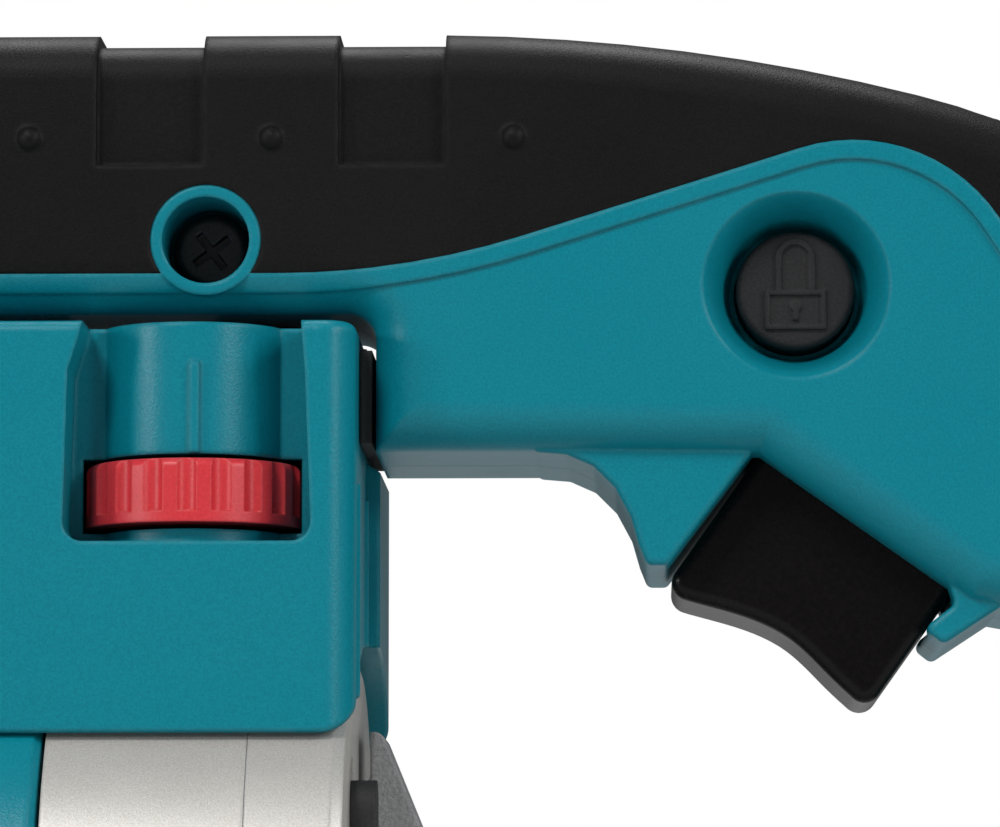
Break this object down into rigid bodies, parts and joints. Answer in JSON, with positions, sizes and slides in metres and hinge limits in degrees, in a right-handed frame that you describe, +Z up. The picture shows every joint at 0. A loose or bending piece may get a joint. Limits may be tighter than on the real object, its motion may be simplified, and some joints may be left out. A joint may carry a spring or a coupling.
{
  "type": "powered rotary cutter",
  "caption": "Electric round-knife cloth cutter with a bridge handle, speed dial, trigger, lock-on button and bevel gear head on a slim base plate.",
  "frame": {"origin": "on the underside of the base plate, below the crossing of the motor's axis and the knife's axis", "axes": "+X to the rear of the tool, +Y to its right-hand side, +Z up"},
  "size_m": [0.3282, 0.0759, 0.1489],
  "materials": {
    "teal": "satin moulded glass-filled nylon",
    "soft_black": "matt overmoulded elastomer with a fine grain",
    "gloss_black": "polished moulding",
    "matt_black": "plain moulding",
    "red": "satin moulding",
    "silver_paint": "fine metallic lacquer on a die casting",
    "cast_grey": "sand-textured casting, painted grey",
    "steel": "ground",
    "blade": "polished with a ground bevel",
    "black_steel": "blackened screw",
    "zinc": "bright zinc",
    "copper": "enamelled winding or drawn copper",
    "brass": "turned",
    "carbon": "pressed graphite",
    "board": "potted circuit board",
    "rubber": "moulded rubber",
    "stone": "bonded abrasive",
    "foil": "sleeved capacitor"
  },
  "bodies": {
    "frame": {"handle_shell_left": "teal", "handle_shell_right": "teal", "grip_overmould_left": "soft_black", "grip_overmould_right": "soft_black", "handle_screws": "black_steel", "handle_dampers": "rubber", "trigger_spring": "steel", "switch_body": "matt_black", "lock_spring": "steel", "lock_guide": "matt_black", "control_housing_left": "teal", "control_housing_right": "teal", "control_housing_screws": "black_steel", "potentiometer": "matt_black", "speed_controller": "board", "capacitor": "foil", "motor_shell": "teal", "end_bell": "silver_paint", "end_cover": "silver_paint", "end_cover_screws": "zinc", "rear_bumpers": "rubber", "stator_core": "steel", "field_coils": "copper", "bearings": "steel", "carbon_brushes": "carbon", "brush_holders": "brass", "brush_caps": "matt_black", "gear_case": "silver_paint", "gear_case_cover": "silver_paint", "gear_head_screws": "zinc", "knife_guard": "cast_grey", "guard_thumbscrew": "black_steel", "sharpener_bracket": "cast_grey", "sharpener_spring": "steel", "base_plate": "zinc", "upright": "steel", "upright_screws": "black_steel", "counter_knife": "blade", "rear_stand": "cast_grey", "stand_foot": "rubber", "cord_gland": "matt_black"},
    "armature": {"armature_shaft": "steel", "armature_core": "steel", "armature_windings": "copper", "commutator": "copper", "cooling_fan": "matt_black", "bevel_pinion": "steel"},
    "knife": {"spindle": "steel", "bevel_gear": "steel", "round_knife": "blade", "knife_flanges": "zinc", "knife_nut": "zinc"},
    "trigger": {"trigger": "gloss_black"},
    "lock_button": {"lock_button": "matt_black"},
    "speed_dial": {"speed_dial": "red", "dial_shaft": "matt_black"},
    "finger_guard": {"finger_guard": "zinc"},
    "sharpener": {"sharpener_button": "red", "sharpening_stone": "stone"}
  },
  "joints": [
    {"name": "armature_spin", "type": "hinge", "parent": "frame", "child": "armature", "pos_m": [0.088, 0, 0.054], "axis": [1, 0, 0], "continuous": true},
    {"name": "knife_spin", "type": "hinge", "parent": "frame", "child": "knife", "pos_m": [0, 0, 0.054], "axis": [0, 1, 0], "continuous": true},
    {"name": "trigger_pull", "type": "slide", "parent": "frame", "child": "trigger", "axis": [0.5807, 0, 0.8141], "range_m": [0, 0.005], "stiffness_N_per_m": 900, "springref_m": -0.003, "deforming": ["trigger_spring"]},
    {"name": "lock_press", "type": "slide", "parent": "frame", "child": "lock_button", "axis": [0, 1, 0], "range_m": [0, 0.003], "stiffness_N_per_m": 500, "springref_m": -0.002, "deforming": ["lock_spring"]},
    {"name": "dial_turn", "type": "hinge", "parent": "frame", "child": "speed_dial", "pos_m": [0.124, -0.0126, 0.1017], "axis": [0, 0, 1], "range_deg": [-135, 135]},
    {"name": "guard_lift", "type": "slide", "parent": "frame", "child": "finger_guard", "axis": [0, 0, 1], "range_m": [0, 0.018]},
    {"name": "sharpener_press", "type": "slide", "parent": "frame", "child": "sharpener", "axis": [0, 1, 0], "range_m": [0, 0.0015], "stiffness_N_per_m": 800, "springref_m": -0.002, "deforming": ["sharpener_spring"]}
  ],
  "couplings": [
    {"joint": "knife_spin", "follows": "armature_spin", "ratio": -0.33333}
  ]
}
